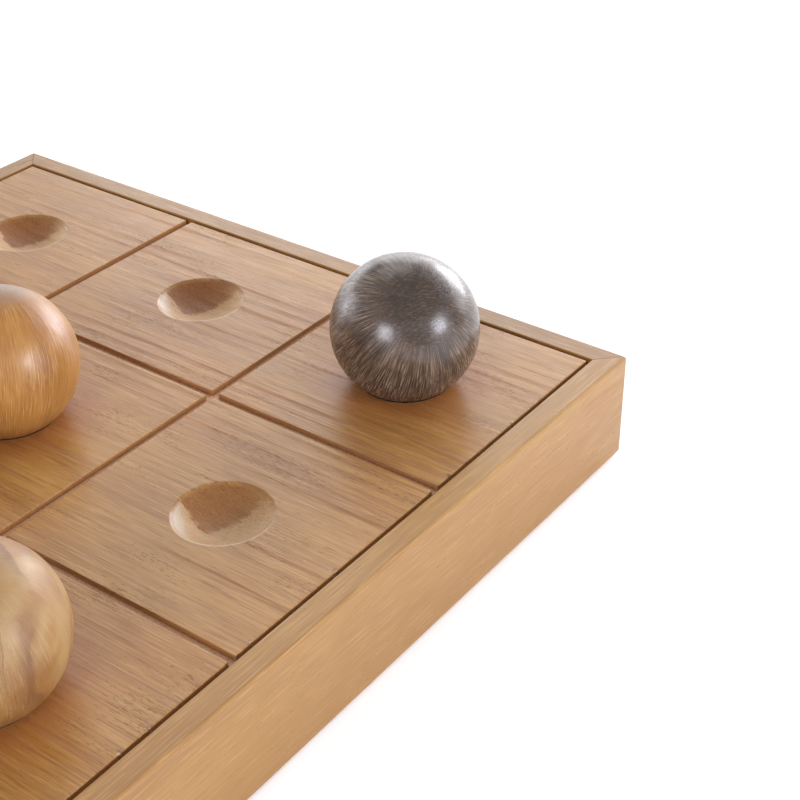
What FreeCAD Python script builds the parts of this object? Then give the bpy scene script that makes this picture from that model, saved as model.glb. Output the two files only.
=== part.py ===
import FreeCAD, Part
import math
import os

# Noughts-and-crosses board: a mitred box frame, a grooved playing panel that floats inside it on
# cleats, a base let into the frame's underside, and large turned wooden balls that stand in dimples.
# Millimetres. The origin is the centre of the footprint, on the surface that the pads stand on.
# +X runs along the back rail from left to right, +Y points to the back, +Z is up.

V = FreeCAD.Vector
UP = V(0, 0, 1)

# Frame
BOARD_SIDE = 300.0
FRAME_HEIGHT = 40.0
RAIL_THICKNESS = 9.0
CORNER_RADIUS = 1.2
TOP_ARRIS_RADIUS = 1.1
BOTTOM_ARRIS_RADIUS = 0.9
INNER_ARRIS_CHAMFER = 0.4

# Playing panel
PANEL_THICKNESS = 12.0
PANEL_DROP = 0.25
PANEL_GAP = 1.5
PANEL_ARRIS_CHAMFER = 0.4
GROOVE_PITCH = 95.0
GROOVE_WIDTH = 3.0
GROOVE_DEPTH = 1.8

# Balls and the dimples that they stand in
BALL_RADIUS = 25.4
DIMPLE_RADIUS = 25.65
DIMPLE_DEPTH = 5.7
DIMPLE_LIP_RADIUS = 0.8
BALL_CLEARANCE = 0.2

# Base, let into a rabbet round the bottom of the rails
BASE_THICKNESS = 4.0
BASE_INSET = 0.4
RABBET_WIDTH = 4.5
BASE_CLEARANCE = 0.2

# Timber under the panel
CLEAT_WIDTH = 14.0
CLEAT_HEIGHT = 12.0
BATTEN_WIDTH = 20.0
BATTEN_HEIGHT = 12.0
BATTEN_X = 67.0
BATTEN_END_GAP = 1.0
BLOCK_LEG = 24.0

# Countersunk wood screws
SCREW_RADIUS = 1.75
SCREW_HEAD_RADIUS = 3.4
SCREW_HEAD_HEIGHT = 1.9
SCREW_TIP_LENGTH = 3.0
SCREW_TIP_RADIUS = 0.3
SCREW_HOLE_CLEARANCE = 0.05
RECESS_SPAN = 3.6
RECESS_WIDTH = 0.9
RECESS_DEPTH = 1.1
LONG_SCREW = 20.0
SHORT_SCREW = 12.0
PANEL_SCREW_OFFSET = 94.0
BATTEN_SCREW_OFFSET = 79.0
BASE_SCREW_OFFSET = 132.0

# Pads under the base
PAD_RADIUS = 7.0
PAD_HEIGHT = 1.6
PAD_EDGE_RADIUS = 0.4
PAD_OFFSET = 114.0

# Levels and half widths that follow from the sizes above
BASE_BOTTOM = PAD_HEIGHT
BASE_TOP = BASE_BOTTOM + BASE_THICKNESS
FRAME_BOTTOM = BASE_BOTTOM - BASE_INSET
FRAME_TOP = FRAME_BOTTOM + FRAME_HEIGHT
PANEL_TOP = FRAME_TOP - PANEL_DROP
PANEL_BOTTOM = PANEL_TOP - PANEL_THICKNESS
CLEAT_BOTTOM = PANEL_BOTTOM - CLEAT_HEIGHT
BATTEN_BOTTOM = PANEL_BOTTOM - BATTEN_HEIGHT
OUTER_HALF = BOARD_SIDE / 2
INNER_HALF = OUTER_HALF - RAIL_THICKNESS
PANEL_HALF = INNER_HALF - PANEL_GAP
BASE_HALF = INNER_HALF + RABBET_WIDTH - BASE_CLEARANCE
CELL_CENTRE = (GROOVE_PITCH / 2 + GROOVE_WIDTH / 2 + PANEL_HALF) / 2
BALL_CENTRE_Z = PANEL_TOP - DIMPLE_DEPTH + BALL_CLEARANCE + BALL_RADIUS

# The nine cells: column left to right, row front to back
COLUMN_X = {"left": -CELL_CENTRE, "middle": 0.0, "right": CELL_CENTRE}
ROW_Y = {"front": -CELL_CENTRE, "centre": 0.0, "back": CELL_CENTRE}

# The cell that each ball stands in, as row and column
BALLS = {
    "grey_ball_back_right": ("back", "right"),
    "grey_ball_front_middle": ("front", "middle"),
    "grey_ball_front_left": ("front", "left"),
    "natural_ball_centre": ("centre", "middle"),
    "natural_ball_front_right": ("front", "right"),
    "natural_ball_centre_left": ("centre", "left"),
}


def block(x_min, x_max, y_min, y_max, z_min, z_max):
    """Rectangular block between two limits on each axis."""
    return Part.makeBox(x_max - x_min, y_max - y_min, z_max - z_min, V(x_min, y_min, z_min))


def square_block(half, z_min, z_max):
    """Square block centred on the origin in plan."""
    return block(-half, half, -half, half, z_min, z_max)


def turned(shape, degrees):
    """Copy of a shape turned about the vertical axis through the origin."""
    copy = shape.copy()
    copy.rotate(V(0, 0, 0), UP, degrees)
    return copy


def edges_at_height(shape, height, half):
    """Edges that lie flat at one height, on or outside a square of the given half width."""
    chosen = []
    for edge in shape.Edges:
        limits = edge.BoundBox
        flat = abs(limits.ZMin - height) < 0.01 and abs(limits.ZMax - height) < 0.01
        reach = max(abs(edge.CenterOfMass.x), abs(edge.CenterOfMass.y))
        if flat and reach > half - 0.01:
            chosen.append(edge)
    return chosen


def upright_edges(shape):
    """Straight vertical edges of a shape."""
    return [edge for edge in shape.Edges if edge.BoundBox.XLength + edge.BoundBox.YLength < 0.01]


def screw(length):
    """Countersunk wood screw pointing up, its head flush with z = 0, with a cross recess."""
    tip_start = length - SCREW_TIP_LENGTH
    outline = [
        V(0, 0, 0),
        V(SCREW_HEAD_RADIUS, 0, 0),
        V(SCREW_RADIUS, 0, SCREW_HEAD_HEIGHT),
        V(SCREW_RADIUS, 0, tip_start),
        V(SCREW_TIP_RADIUS, 0, length),
        V(0, 0, length),
        V(0, 0, 0),
    ]
    body = Part.Face(Part.makePolygon(outline)).revolve(V(0, 0, 0), UP, 360)
    slot = block(-RECESS_SPAN / 2, RECESS_SPAN / 2, -RECESS_WIDTH / 2, RECESS_WIDTH / 2, -1, RECESS_DEPTH)
    return body.cut([slot, turned(slot, 90)])


def screw_hole(length):
    """Room for a screw: its outline with a little clearance all round, open at the head."""
    clearance = SCREW_HOLE_CLEARANCE
    shank = Part.makeCylinder(SCREW_RADIUS + clearance, length - SCREW_TIP_LENGTH)
    head = Part.makeCone(
        SCREW_HEAD_RADIUS + clearance, SCREW_RADIUS + clearance, SCREW_HEAD_HEIGHT + clearance)
    tip = Part.makeCone(
        SCREW_RADIUS + clearance,
        SCREW_TIP_RADIUS + clearance,
        SCREW_TIP_LENGTH + clearance,
        V(0, 0, length - SCREW_TIP_LENGTH))
    return head.fuse([shank, tip])


def placed(shape, positions):
    """Copies of a shape, one at each position."""
    return [shape.translated(position) for position in positions]


def panel_screw_places():
    """Two screws up through each cleat, near the panel's edge."""
    across = INNER_HALF - CLEAT_WIDTH / 2
    places = []
    for turn in range(4):
        angle = math.radians(90 * turn)
        for along in (-PANEL_SCREW_OFFSET, PANEL_SCREW_OFFSET):
            x = along * math.cos(angle) - across * math.sin(angle)
            y = along * math.sin(angle) + across * math.cos(angle)
            places.append(V(x, y, CLEAT_BOTTOM))
    return places


def batten_screw_places(batten_x):
    """Three screws up through one batten."""
    return [V(batten_x, y, BATTEN_BOTTOM) for y in (-BATTEN_SCREW_OFFSET, 0, BATTEN_SCREW_OFFSET)]


def base_screw_places():
    """One screw up into each corner block."""
    reach = BASE_SCREW_OFFSET
    return [V(x, y, BASE_BOTTOM) for x in (-reach, reach) for y in (-reach, reach)]


def frame_ring():
    """The whole frame before it is divided at the mitres."""
    outer = square_block(OUTER_HALF, FRAME_BOTTOM, FRAME_TOP)
    outer = outer.makeFillet(CORNER_RADIUS, upright_edges(outer))
    outer = outer.makeFillet(TOP_ARRIS_RADIUS, edges_at_height(outer, FRAME_TOP, INNER_HALF))
    outer = outer.makeFillet(BOTTOM_ARRIS_RADIUS, edges_at_height(outer, FRAME_BOTTOM, INNER_HALF))
    opening = square_block(INNER_HALF, FRAME_BOTTOM - 1, FRAME_TOP + 1)
    rabbet = square_block(INNER_HALF + RABBET_WIDTH, FRAME_BOTTOM - 1, BASE_TOP)
    ring = outer.cut([opening, rabbet])
    inner_arris = [
        edge for edge in edges_at_height(ring, FRAME_TOP, INNER_HALF)
        if max(abs(edge.CenterOfMass.x), abs(edge.CenterOfMass.y)) < INNER_HALF + 0.01
    ]
    return ring.makeChamfer(INNER_ARRIS_CHAMFER, inner_arris)


def rails():
    """Four rails, divided from the frame by the diagonal planes of its mitres."""
    reach = BOARD_SIDE
    corners = [V(0, 0, 0), V(-reach, reach, 0), V(reach, reach, 0), V(0, 0, 0)]
    wedge = Part.Face(Part.makePolygon(corners)).extrude(V(0, 0, FRAME_TOP + 1))
    ring = frame_ring()
    names = ("rail_back", "rail_left", "rail_front", "rail_right")
    return {name: ring.common(turned(wedge, 90 * turn)) for turn, name in enumerate(names)}


def groove():
    """Saw-cut groove along Y, its lips chamfered, as the solid to be cut away."""
    half = GROOVE_WIDTH / 2
    lip = PANEL_ARRIS_CHAMFER
    over = 1.0
    outline = [
        V(-half, 0, PANEL_TOP - GROOVE_DEPTH),
        V(-half, 0, PANEL_TOP - lip),
        V(-half - lip - over, 0, PANEL_TOP + over),
        V(half + lip + over, 0, PANEL_TOP + over),
        V(half, 0, PANEL_TOP - lip),
        V(half, 0, PANEL_TOP - GROOVE_DEPTH),
        V(-half, 0, PANEL_TOP - GROOVE_DEPTH),
    ]
    cut = Part.Face(Part.makePolygon(outline)).extrude(V(0, BOARD_SIDE, 0))
    return cut.translated(V(0, -OUTER_HALF, 0))


def playing_panel():
    """Panel with two grooves each way and a shallow round dimple in each of its nine cells."""
    panel = square_block(PANEL_HALF, PANEL_BOTTOM, PANEL_TOP)
    panel = panel.makeChamfer(PANEL_ARRIS_CHAMFER, edges_at_height(panel, PANEL_TOP, PANEL_HALF))
    one_groove = groove()
    grooves = []
    for side in (-GROOVE_PITCH / 2, GROOVE_PITCH / 2):
        line = one_groove.translated(V(side, 0, 0))
        grooves += [line, turned(line, 90)]
    hollow = Part.makeSphere(DIMPLE_RADIUS)
    hollow_z = PANEL_TOP - DIMPLE_DEPTH + DIMPLE_RADIUS
    hollows = placed(hollow, [V(x, y, hollow_z) for x in COLUMN_X.values() for y in ROW_Y.values()])
    panel = panel.cut(grooves + hollows)
    rims = [edge for edge in edges_at_height(panel, PANEL_TOP, 0) if edge.isClosed()]
    panel = panel.makeFillet(DIMPLE_LIP_RADIUS, rims)
    places = panel_screw_places() + batten_screw_places(-BATTEN_X) + batten_screw_places(BATTEN_X)
    return panel.cut(placed(screw_hole(LONG_SCREW), places))


def cleats():
    """Four cleats glued round the inside of the rails, level with the panel's underside."""
    inside = INNER_HALF - CLEAT_WIDTH
    back = block(-INNER_HALF, INNER_HALF, inside, INNER_HALF, CLEAT_BOTTOM, PANEL_BOTTOM)
    right = block(inside, INNER_HALF, -inside, inside, CLEAT_BOTTOM, PANEL_BOTTOM)
    solids = {
        "cleat_back": back,
        "cleat_front": turned(back, 180),
        "cleat_right": right,
        "cleat_left": turned(right, 180),
    }
    holes = placed(screw_hole(LONG_SCREW), panel_screw_places())
    return {name: solid.cut(holes) for name, solid in solids.items()}


def batten(batten_x):
    """Batten across the panel's grain, screwed up to its underside between the cleats."""
    reach = INNER_HALF - CLEAT_WIDTH - BATTEN_END_GAP
    half = BATTEN_WIDTH / 2
    solid = block(batten_x - half, batten_x + half, -reach, reach, BATTEN_BOTTOM, PANEL_BOTTOM)
    return solid.cut(placed(screw_hole(LONG_SCREW), batten_screw_places(batten_x)))


def corner_blocks():
    """Triangular glue blocks that brace the mitres and take the base's screws."""
    near = INNER_HALF - BLOCK_LEG
    corners = [
        V(INNER_HALF, INNER_HALF, BASE_TOP),
        V(near, INNER_HALF, BASE_TOP),
        V(INNER_HALF, near, BASE_TOP),
        V(INNER_HALF, INNER_HALF, BASE_TOP),
    ]
    solid = Part.Face(Part.makePolygon(corners)).extrude(V(0, 0, CLEAT_BOTTOM - BASE_TOP))
    names = ("block_back_right", "block_back_left", "block_front_left", "block_front_right")
    holes = placed(screw_hole(SHORT_SCREW), base_screw_places())
    return {name: turned(solid, 90 * turn).cut(holes) for turn, name in enumerate(names)}


def base_panel():
    """Thin base that lies in the rabbet and closes the frame from below."""
    base = square_block(BASE_HALF, BASE_BOTTOM, BASE_TOP)
    return base.cut(placed(screw_hole(SHORT_SCREW), base_screw_places()))


def pads():
    """Four round pads under the base, their lower edge eased."""
    pad = Part.makeCylinder(PAD_RADIUS, PAD_HEIGHT)
    pad = pad.makeFillet(PAD_EDGE_RADIUS, edges_at_height(pad, 0, 0))
    reach = PAD_OFFSET
    return {
        "pad_front_left": pad.translated(V(-reach, -reach, 0)),
        "pad_front_right": pad.translated(V(reach, -reach, 0)),
        "pad_back_left": pad.translated(V(-reach, reach, 0)),
        "pad_back_right": pad.translated(V(reach, reach, 0)),
    }


def balls():
    """The balls, each standing a hair clear of the bottom of its dimple."""
    ball = Part.makeSphere(BALL_RADIUS)
    return {
        name: ball.translated(V(COLUMN_X[column], ROW_Y[row], BALL_CENTRE_Z))
        for name, (row, column) in BALLS.items()
    }


def screw_group(length, places):
    """A set of identical screws as one compound of separate solids."""
    return Part.makeCompound(placed(screw(length), places))


def build():
    """Every sub-part of the board by its node name."""
    nodes = {}
    nodes.update(rails())
    nodes["playing_panel"] = playing_panel()
    nodes.update(cleats())
    nodes["batten_left"] = batten(-BATTEN_X)
    nodes["batten_right"] = batten(BATTEN_X)
    nodes.update(corner_blocks())
    nodes["base_panel"] = base_panel()
    nodes["panel_screws"] = screw_group(LONG_SCREW, panel_screw_places())
    batten_places = batten_screw_places(-BATTEN_X) + batten_screw_places(BATTEN_X)
    nodes["batten_screws"] = screw_group(LONG_SCREW, batten_places)
    nodes["base_screws"] = screw_group(SHORT_SCREW, base_screw_places())
    nodes.update(pads())
    nodes.update(balls())
    return nodes


os.makedirs("parts", exist_ok=True)
for node, shape in build().items():
    shape.exportStep("parts/" + node + ".step")
    print(node, len(shape.Solids), round(shape.Volume), shape.isValid())
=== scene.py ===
import bpy
import math
from mathutils import Matrix, Vector, noise


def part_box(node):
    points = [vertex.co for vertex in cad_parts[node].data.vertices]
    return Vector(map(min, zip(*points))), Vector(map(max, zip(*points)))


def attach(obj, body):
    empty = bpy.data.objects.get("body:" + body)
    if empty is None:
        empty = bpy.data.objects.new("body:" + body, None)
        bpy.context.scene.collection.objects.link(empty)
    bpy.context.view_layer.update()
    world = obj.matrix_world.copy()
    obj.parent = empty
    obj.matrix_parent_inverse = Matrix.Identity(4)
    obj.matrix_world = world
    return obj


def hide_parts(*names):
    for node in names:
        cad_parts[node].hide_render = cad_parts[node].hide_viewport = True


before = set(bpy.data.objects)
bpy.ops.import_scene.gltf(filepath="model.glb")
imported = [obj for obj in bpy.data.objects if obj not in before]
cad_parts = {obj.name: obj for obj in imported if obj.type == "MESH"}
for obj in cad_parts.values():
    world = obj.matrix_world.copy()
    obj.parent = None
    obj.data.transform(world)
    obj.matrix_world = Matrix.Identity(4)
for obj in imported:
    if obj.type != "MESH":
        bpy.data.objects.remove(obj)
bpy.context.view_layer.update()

MM = 0.001

# ---------------------------------------------------------------------------------------------
# Sizes. Places come from the parts in model.glb; the rest repeats the part's own dimensions, in
# metres.
# ---------------------------------------------------------------------------------------------
BOARD = "board"
RAILS = ("rail_back", "rail_left", "rail_front", "rail_right")
GREY_BALLS = ("grey_ball_back_right", "grey_ball_front_middle", "grey_ball_front_left")
NATURAL_BALLS = ("natural_ball_centre", "natural_ball_front_right", "natural_ball_centre_left")
PADS = ("pad_front_left", "pad_front_right", "pad_back_left", "pad_back_right")

rail_low, rail_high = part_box("rail_right")
panel_low, panel_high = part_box("playing_panel")
base_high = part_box("base_panel")[1]
corner_ball_low, corner_ball_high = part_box("natural_ball_front_right")

OUTER_HALF = rail_high.x
INNER_HALF = rail_low.x
RAIL_THICKNESS = OUTER_HALF - INNER_HALF
BOARD_SIDE = 2 * OUTER_HALF
BOARD_TOP = rail_high.z
BOARD_BOTTOM = rail_low.z
PANEL_HALF = panel_high.x
PANEL_TOP = panel_high.z
CELL_CENTRE = (corner_ball_low.x + corner_ball_high.x) / 2
GROOVE_OUTER = 2 * CELL_CENTRE - PANEL_HALF
GROOVE_WIDTH = 3.0 * MM
GROOVE_INNER = GROOVE_OUTER - GROOVE_WIDTH
GROOVE_FLOOR = PANEL_TOP - 1.8 * MM

DIMPLE_RADIUS = 25.65 * MM
DIMPLE_DEPTH = 5.7 * MM
DIMPLE_LIP = 0.8 * MM
PANEL_ARRIS = 0.2 * MM

CORNER_RADIUS = 1.2 * MM
TOP_ARRIS = 1.1 * MM
BOTTOM_ARRIS = 0.9 * MM
INNER_ARRIS = 0.4 * MM
RABBET_WIDTH = 4.5 * MM
MITRE_CREASE = 0.14 * MM


# ---------------------------------------------------------------------------------------------
# Mesh helpers
# ---------------------------------------------------------------------------------------------
class Shell:
    """Collects points and faces, sharing a point wherever two faces meet."""

    def __init__(self):
        self.points = []
        self.faces = []
        self.known = {}

    def point(self, x, y, z):
        key = (round(x, 7), round(y, 7), round(z, 7))
        if key not in self.known:
            self.known[key] = len(self.points)
            self.points.append((x, y, z))
        return self.known[key]

    def row(self, places):
        return [self.point(*place) for place in places]

    def face(self, corners):
        kept = [corner for i, corner in enumerate(corners) if corner != corners[i - 1]]
        if len(kept) > 2:
            self.faces.append(kept)

    def strip(self, first, second, closed=False):
        """Quads between two rows of equal length."""
        count = len(first)
        for i in range(count if closed else count - 1):
            j = (i + 1) % count
            self.face([first[i], first[j], second[j], second[i]])

    def piece(self, name, material, sharp_degrees=35):
        """The collected shell as an object with smooth shading between its sharp edges."""
        mesh = bpy.data.meshes.new(name)
        mesh.from_pydata(self.points, [], self.faces)
        mesh.validate()
        mesh.polygons.foreach_set("use_smooth", [True] * len(mesh.polygons))
        mesh.set_sharp_from_angle(angle=math.radians(sharp_degrees))
        mesh.materials.append(material)
        obj = bpy.data.objects.new(name, mesh)
        bpy.context.scene.collection.objects.link(obj)
        return obj


def wander(x, y, z, scale, amount):
    """Smooth random offset of at most about the given amount at a place."""
    return amount * noise.noise(Vector((x, y, z)) * scale)


def finished(obj, body, slot, *nodes):
    """Ride and replaced nodes of one visible piece; its slot is not used."""
    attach(obj, body)
    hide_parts(*nodes)
    return obj


# ---------------------------------------------------------------------------------------------
# Material helpers
# ---------------------------------------------------------------------------------------------
class Nodes:
    """Builds the node tree of one material."""

    def __init__(self, name):
        self.material = bpy.data.materials.new(name)
        self.material.use_nodes = True
        self.tree = self.material.node_tree
        self.tree.nodes.clear()
        self.shader = self.add("ShaderNodeBsdfPrincipled", {})
        output = self.add("ShaderNodeOutputMaterial", {})
        self.tree.links.new(self.shader.outputs[0], output.inputs["Surface"])

    def put(self, socket, value):
        if isinstance(value, bpy.types.NodeSocket):
            self.tree.links.new(value, socket)
        else:
            socket.default_value = value

    def add(self, kind, inputs, **settings):
        node = self.tree.nodes.new(kind)
        for key, value in settings.items():
            setattr(node, key, value)
        for key, value in inputs.items():
            self.put(node.inputs[key], value)
        return node

    def place(self, centre=(0, 0, 0), turn=(0, 0, 0)):
        """Object coordinates in a frame set at centre and turned by Euler angles."""
        place = self.add("ShaderNodeTexCoord", {}).outputs["Object"]
        inputs = {"Vector": place, "Location": centre, "Rotation": turn}
        return self.add("ShaderNodeMapping", inputs, vector_type="TEXTURE").outputs[0]

    def scaled(self, vector, factors):
        inputs = {0: vector, 1: factors}
        return self.add("ShaderNodeVectorMath", inputs, operation="MULTIPLY").outputs[0]

    def math(self, operation, first, second=0.0, third=0.0):
        inputs = {0: first, 1: second, 2: third}
        return self.add("ShaderNodeMath", inputs, operation=operation).outputs[0]

    def noise(self, vector, factors, detail=2.0, roughness=0.5, distortion=0.0):
        inputs = {
            "Vector": self.scaled(vector, factors),
            "Scale": 1.0,
            "Detail": detail,
            "Roughness": roughness,
            "Distortion": distortion,
        }
        return self.add("ShaderNodeTexNoise", inputs).outputs[0]

    def remap(self, value, low, high, to_low=0.0, to_high=1.0, smooth=True):
        inputs = {0: value, 1: low, 2: high, 3: to_low, 4: to_high}
        kind = "SMOOTHSTEP" if smooth else "LINEAR"
        return self.add("ShaderNodeMapRange", inputs, interpolation_type=kind).outputs[0]

    def mix(self, share, first, second, blend="MIX"):
        inputs = {0: share, 6: first, 7: second}
        node = self.add("ShaderNodeMix", inputs, data_type="RGBA", blend_type=blend)
        return node.outputs[2]

    def bump(self, height, distance, strength=1.0, normal=None):
        inputs = {"Height": height, "Distance": distance, "Strength": strength}
        if normal is not None:
            inputs["Normal"] = normal
        return self.add("ShaderNodeBump", inputs).outputs[0]


def rgb(red, green, blue):
    return (red, green, blue, 1.0)


# Softness of a pore's edge, and the full heights of hand-worked unevenness, of open grain, of
# the marks of turning on steel and of felt
PORE_EDGE = 0.09
HAND_RELIEF = 0.35 * MM
GRAIN_RELIEF = 0.06 * MM
TURNING_RELIEF = 0.02 * MM
FELT_RELIEF = 0.2 * MM


def growth_lines(n, place, look):
    """Thin dark lines where rings about a pith beside the piece come to its surface."""
    parts = n.add("ShaderNodeSeparateXYZ", {0: place})
    across = n.math("ADD", parts.outputs[1], look["pith"][0])
    depth = n.math("ADD", parts.outputs[2], look["pith"][1])
    flat = n.math("MULTIPLY", across, across)
    radius = n.math("SQRT", n.math("MULTIPLY_ADD", depth, depth, flat))
    sway = n.noise(place, (3.5, 16, 16), detail=1.0)
    ripple = n.noise(place, look["ripple_scale"], detail=2.0)
    radius = n.math("MULTIPLY_ADD", sway, look["sway"], radius)
    radius = n.math("MULTIPLY_ADD", ripple, look["ripple"], radius)
    rings = n.math("DIVIDE", radius, look["spacing"])
    rings = n.math("ADD", rings, look["phase"])
    year = n.math("FLOOR", rings)
    season = n.math("FRACT", rings)
    chance = n.add("ShaderNodeTexWhiteNoise", {"W": year}, noise_dimensions="1D").outputs["Value"]
    rise = n.remap(season, look["late_from"], 0.95)
    fall = n.remap(season, 0.0, 0.10, 1.0, 0.0)
    line = n.math("MAXIMUM", rise, fall)
    line = n.math("MULTIPLY", line, n.remap(chance, 0.1, 1.0, 0.25, 1.0))
    broken = n.noise(place, look["break_scale"], detail=3.0)
    return n.math("MULTIPLY", line, n.remap(broken, 0.36, 0.60, 0.15, 1.0))


def wood_surface(n, place, look, fibre, pore_noise):
    """Colour, gloss and relief of varnished wood from its lines, fibres and pores."""
    line = growth_lines(n, place, look)
    glow = n.noise(place, look["glow_scale"], detail=3.0, distortion=look["glow_distortion"])
    colour = n.mix(n.remap(glow, 0.35, 0.65), rgb(*look["pale"]), rgb(*look["warm"]))
    band = n.noise(place, look["band_scale"], detail=2.0)
    colour = n.mix(n.remap(band, 0.40, 0.72, 0.0, look["band_share"]), colour, rgb(*look["shade"]))
    colour = n.mix(n.math("MULTIPLY", line, look["line_share"]), colour, rgb(*look["line"]))
    light = n.remap(fibre, look["streak_from"], look["streak_to"])
    colour = n.mix(n.math("MULTIPLY", light, look["streak_share"]), colour, rgb(*look["streak"]))
    shade = n.remap(fibre, 0.28, 0.50, 1.0, 0.0)
    colour = n.mix(n.math("MULTIPLY", shade, look["shade_share"]), colour, rgb(*look["shade"]))
    cluster = n.noise(place, look["cluster_scale"], detail=1.0)
    gathered = n.remap(cluster, 0.38, 0.68, -0.07, 0.08)
    gathered = n.math("ADD", gathered, n.remap(line, 0.0, 0.6, 0.0, 0.04))
    gathered = n.math("ADD", pore_noise, gathered)
    pores = n.remap(gathered, look["pore_from"], look["pore_from"] + PORE_EDGE)
    colour = n.mix(n.math("MULTIPLY", pores, look["pore_share"]), colour, rgb(*look["pore"]))
    grip = n.noise(place, (70, 300, 300), detail=3.0)
    roughness = n.remap(grip, 0.3, 0.7, look["rough"][0], look["rough"][1])
    roughness = n.math("MULTIPLY_ADD", line, look["line_dull"], roughness)
    roughness = n.math("MULTIPLY_ADD", pores, look["pore_dull"], roughness)
    relief = n.math("MULTIPLY_ADD", pores, -1.0, n.math("MULTIPLY", fibre, look["fibre_relief"]))
    hand = n.noise(place, (30, 45, 45), detail=1.0)
    normal = n.bump(hand, HAND_RELIEF, look["unevenness"])
    normal = n.bump(relief, GRAIN_RELIEF, look["relief"], normal)
    n.shader.inputs["IOR"].default_value = look["ior"]
    return colour, roughness, normal


def put_surface(n, colour, roughness, normal):
    """Joins colour, gloss and relief to the material's shader."""
    n.put(n.shader.inputs["Base Color"], colour)
    n.put(n.shader.inputs["Roughness"], roughness)
    n.put(n.shader.inputs["Normal"], normal)
    return n.material


def wood(name, centre, turn, look):
    """Solid wood whose fibres run along X of the turned frame, with growth rings across it."""
    n = Nodes(name)
    place = n.place(centre, turn)
    fibre = n.noise(place, look["fibre_scale"], detail=3.0, roughness=0.6)
    pore_noise = n.noise(place, look["pore_scale"], detail=1.0)
    return put_surface(n, *wood_surface(n, place, look, fibre, pore_noise))


# Lines in the panel's plane: shares of a place's X and Y in its cell, which give the distance
# beyond the line, and the distance at the cell's middle. The painted shade in a dimple lies
# behind its front edge and to the left of its right edge.
TO_BACK_RIGHT = (0.805, 0.593, 0.0)
TO_BACK_LEFT = (-0.593, 0.805, 0.0)
FROM_FRONT_LEFT = (0.65, 0.75, 0.0)
SHADE_FRONT_EDGE = (0.288, 0.957, 7.3 * MM)
SHADE_RIGHT_EDGE = (-0.910, 0.409, 2.4 * MM)

# Depths below the panel's top at which a cut's look is full and at which it has faded out
HOLLOW = (1.2 * MM, 0.15 * MM)
DULL_BOWL = (0.90 * MM, 0.25 * MM)
DULL_ARRIS = (0.10 * MM, 0.01 * MM)

# Distances from a cell's middle: what lies nearer is its dimple, what lies further its edges
DIMPLE_ZONE, EDGE_ZONE = 20 * MM, 24 * MM

# The panel's colours. Painted shade: the two end-grain colours, in a wedge at each dimple's back
# left, the groove corners, and the ring round each ball's foot. Painted light: the paler dimple
# front and groove floor. Painted highlights: the whitish patch and the light line on a dimple's
# lip.
PANEL_COLOURS = {
    "shade_grain_dark": (0.150, 0.045, 0.006), "shade_grain_light": (0.290, 0.096, 0.010),
    "fleck": (0.12, 0.055, 0.022), "groove_wall": (0.37, 0.150, 0.050),
    "groove_floor_light": (0.56, 0.310, 0.160), "groove_fleck": (0.20, 0.080, 0.028),
    "groove_corner_shade": (0.18, 0.070, 0.025), "painted_front_light": (0.55, 0.35, 0.17),
    "highlight_patch": (0.60, 0.54, 0.46), "lip": (0.66, 0.52, 0.36), "ring_shade": (0.285, 0.082, 0.019),
    "torn_dark": (0.10, 0.048, 0.022), "torn_light": (0.62, 0.43, 0.24),
}


def panel_colour(name):
    return rgb(*PANEL_COLOURS[name])


class CellPlaces:
    """Where a point lies on the panel and in its cell, and the noises that the cuts share."""

    def __init__(self, n, place):
        self.n = n
        parts = n.add("ShaderNodeSeparateXYZ", {0: place})
        self.x, self.y, self.z = parts.outputs[0], parts.outputs[1], parts.outputs[2]
        self.off_x = n.math("WRAP", self.x, CELL_CENTRE / 2, -CELL_CENTRE / 2)
        self.off_y = n.math("WRAP", self.y, CELL_CENTRE / 2, -CELL_CENTRE / 2)
        span_x = n.math("ABSOLUTE", self.off_x)
        span_y = n.math("ABSOLUTE", self.off_y)
        self.reach = n.math("MAXIMUM", span_x, span_y)
        square_y = n.math("MULTIPLY", self.off_y, self.off_y)
        self.radius = n.math("SQRT", n.math("MULTIPLY_ADD", self.off_x, self.off_x, square_y))
        self.hollow = self.deeper(HOLLOW, 1.0)
        self.fleck = n.noise(place, (900, 2300, 2300), detail=2.0, roughness=0.7)
        ragged = n.noise(place, (260, 620, 620), detail=3.0)
        self.ragged = n.math("MULTIPLY", n.math("SUBTRACT", ragged, 0.5), 6 * MM)

    def deeper(self, depths, share):
        """The share from the first depth below the panel's top down, none above the second."""
        full, none = depths
        return self.n.remap(self.z, PANEL_TOP - full, PANEL_TOP - none, share, 0.0)

    def beyond(self, line):
        """Distance beyond a line in the cell's plane."""
        share_x, share_y, at_middle = line
        distance = self.n.math("MULTIPLY_ADD", self.off_y, share_y, at_middle)
        return self.n.math("MULTIPLY_ADD", self.off_x, share_x, distance)

    def from_groove(self):
        """Distance from the middle of the nearest groove."""
        n = self.n
        middle = (GROOVE_INNER + GROOVE_OUTER) / 2
        gaps = []
        for place in (self.x, self.y):
            gap = n.math("SUBTRACT", n.math("ABSOLUTE", place), middle)
            gaps.append(n.math("ABSOLUTE", gap))
        return n.math("MINIMUM", *gaps)


def painted_dimple_shade(n, cell):
    """Painted shade in each dimple: most in a wedge at its back left."""
    behind = n.math("ADD", cell.beyond(SHADE_FRONT_EDGE), cell.ragged)
    left = n.math("ADD", cell.beyond(SHADE_RIGHT_EDGE), cell.ragged)
    behind = n.remap(behind, -0.6 * MM, 1.6 * MM)
    left = n.remap(left, -1.5 * MM, 4.5 * MM)
    fading = n.remap(cell.beyond(TO_BACK_RIGHT), -1 * MM, 15 * MM, 1.0, 0.5)
    return n.math("MULTIPLY", n.math("MULTIPLY", behind, left), fading)


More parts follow.
